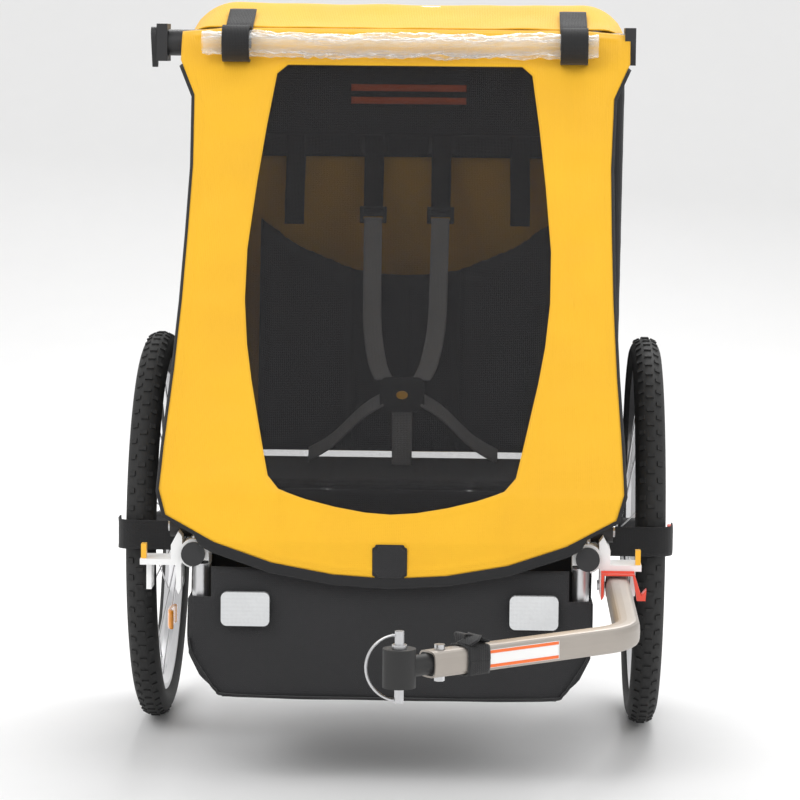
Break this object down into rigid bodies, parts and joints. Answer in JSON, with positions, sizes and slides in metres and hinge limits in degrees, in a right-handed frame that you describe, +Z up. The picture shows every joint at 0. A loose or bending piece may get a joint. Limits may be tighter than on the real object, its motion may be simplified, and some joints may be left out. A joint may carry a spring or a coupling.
{
  "type": "child bicycle trailer",
  "caption": "Single-seat child bicycle trailer with fabric cabin, folding tube frame, quick-release wheels, harness and a tow bar that stows under the floor.",
  "frame": {"origin": "middle of the bounding box, on the ground under the tyres", "axes": "+Z up; the trailer travels towards -Y; +X is the trailer's own left"},
  "size_m": [0.7036, 1.2538, 0.9276],
  "materials": {
    "yellow_fabric": "matt woven polyester",
    "black_fabric": "matt woven polyester",
    "black_mesh": "open mesh",
    "grey_webbing": "woven webbing",
    "clear_film": "clear flexible film",
    "alloy_tube": "satin anodised",
    "tow_alloy": "satin anodised",
    "steel": "zinc plated",
    "white_cast": "powder coated",
    "black_plastic": "textured",
    "red_plastic": "smooth",
    "yellow_plastic": "smooth",
    "reflector_clear": "prismatic",
    "reflector_red": "prismatic",
    "tyre_rubber": "treaded",
    "black_rubber": "smooth"
  },
  "bodies": {
    "chassis": {"side_rails": "alloy_tube", "rail_end_caps": "black_plastic", "axle_tube": "alloy_tube", "rear_tube": "alloy_tube", "foot_hoop": "alloy_tube", "axle_blocks": "black_plastic", "rear_blocks": "black_plastic", "left_receiver": "white_cast", "right_receiver": "white_cast", "receiver_tabs": "yellow_plastic", "receiver_screws": "steel", "wheel_guards": "black_fabric", "foot_box": "black_fabric", "seat_pan": "black_fabric", "front_reflectors": "reflector_clear", "rear_reflectors": "reflector_red", "hinge_pins": "steel", "wheel_axles": "steel", "tow_pivot_pin": "steel", "front_cover": "yellow_fabric", "mesh_window": "black_mesh", "cover_patch": "black_fabric", "side_panels": "black_fabric", "seat_back": "black_fabric", "lower_webbing": "grey_webbing", "harness_buckle": "black_plastic", "crotch_strap": "grey_webbing"},
    "rear_frame": {"rear_hoop": "alloy_tube", "shoulder_tube": "alloy_tube", "left_elbow": "black_plastic", "right_elbow": "black_plastic", "roof_rails": "alloy_tube", "harness_bar": "black_fabric", "roof_panel": "yellow_fabric", "rear_panel": "yellow_fabric", "rain_roll": "clear_film", "roll_straps": "black_fabric", "upper_webbing": "black_fabric"},
    "release_lever": {"elbow_lever": "black_plastic"},
    "front_frame": {"front_struts": "alloy_tube", "strut_feet": "black_plastic", "strut_heads": "black_plastic"},
    "left_wheel": {"left_tyre": "tyre_rubber", "left_rim": "alloy_tube", "left_spokes": "steel", "left_hub": "black_plastic"},
    "right_wheel": {"right_tyre": "tyre_rubber", "right_rim": "alloy_tube", "right_spokes": "steel", "right_hub": "black_plastic"},
    "left_release": {"left_button": "red_plastic"},
    "right_release": {"right_button": "red_plastic"},
    "tow_bar": {"tow_tube": "tow_alloy", "flex_connector": "black_rubber", "connector_bolt": "steel", "safety_strap": "black_fabric"},
    "latch": {"tow_latch": "red_plastic"},
    "pin": {"hitch_pin": "steel"},
    "keeper": {"pin_keeper": "steel"},
    "buckle_release": {"buckle_button": "yellow_plastic"}
  },
  "joints": [
    {"name": "frame_fold", "type": "hinge", "parent": "chassis", "child": "rear_frame", "pos_m": [0, 0.60093, 0.302], "axis": [1, 0, 0], "range_deg": [0, 48], "deforming": ["front_cover", "mesh_window", "cover_patch", "side_panels", "seat_back", "lower_webbing"]},
    {"name": "front_fold", "type": "hinge", "parent": "chassis", "child": "front_frame", "pos_m": [0, -0.06407, 0.304], "axis": [1, 0, 0], "range_deg": [-46.47, 0], "deforming": ["front_cover", "mesh_window", "cover_patch", "side_panels", "seat_back", "lower_webbing"]},
    {"name": "release_lever_turn", "type": "hinge", "parent": "rear_frame", "child": "release_lever", "pos_m": [-0.322, 0.35893, 0.884], "axis": [1, 0, 0], "range_deg": [-50, 0], "stiffness_Nm_per_rad": 0.05, "springref_deg": 17.19},
    {"name": "left_wheel_spin", "type": "hinge", "parent": "chassis", "child": "left_wheel", "pos_m": [0.313, 0.32093, 0.25], "axis": [1, 0, 0], "continuous": true},
    {"name": "right_wheel_spin", "type": "hinge", "parent": "chassis", "child": "right_wheel", "pos_m": [-0.313, 0.32093, 0.25], "axis": [1, 0, 0], "continuous": true},
    {"name": "left_button_push", "type": "slide", "parent": "chassis", "child": "left_release", "axis": [-1, 0, 0], "range_m": [0, 0.004], "stiffness_N_per_m": 400, "springref_m": -0.002},
    {"name": "right_button_push", "type": "slide", "parent": "chassis", "child": "right_release", "axis": [1, 0, 0], "range_m": [0, 0.004], "stiffness_N_per_m": 400, "springref_m": -0.002},
    {"name": "tow_bar_swing", "type": "hinge", "parent": "chassis", "child": "tow_bar", "pos_m": [0.2665, -0.07507, 0.242], "axis": [1, 0, 0], "range_deg": [0, 165]},
    {"name": "latch_turn", "type": "hinge", "parent": "chassis", "child": "latch", "pos_m": [0.2665, -0.10087, 0.261], "axis": [1, 0, 0], "range_deg": [-70, 0], "stiffness_Nm_per_rad": 0.1, "springref_deg": 17.19},
    {"name": "hitch_pin_lift", "type": "slide", "parent": "tow_bar", "child": "pin", "axis": [0, 0, 1], "range_m": [0, 0.005]},
    {"name": "pin_keeper_swing", "type": "hinge", "parent": "pin", "child": "keeper", "pos_m": [0.02617, -0.60993, 0.27526], "axis": [1, 0, 0], "range_deg": [-100, 0]},
    {"name": "buckle_press", "type": "slide", "parent": "chassis", "child": "buckle_release", "axis": [0, 1, 0], "range_m": [0, 0.0025], "stiffness_N_per_m": 300, "springref_m": -0.002}
  ],
  "couplings": [
    {"joint": "front_fold", "follows": "frame_fold", "ratio": -0.96803}
  ]
}
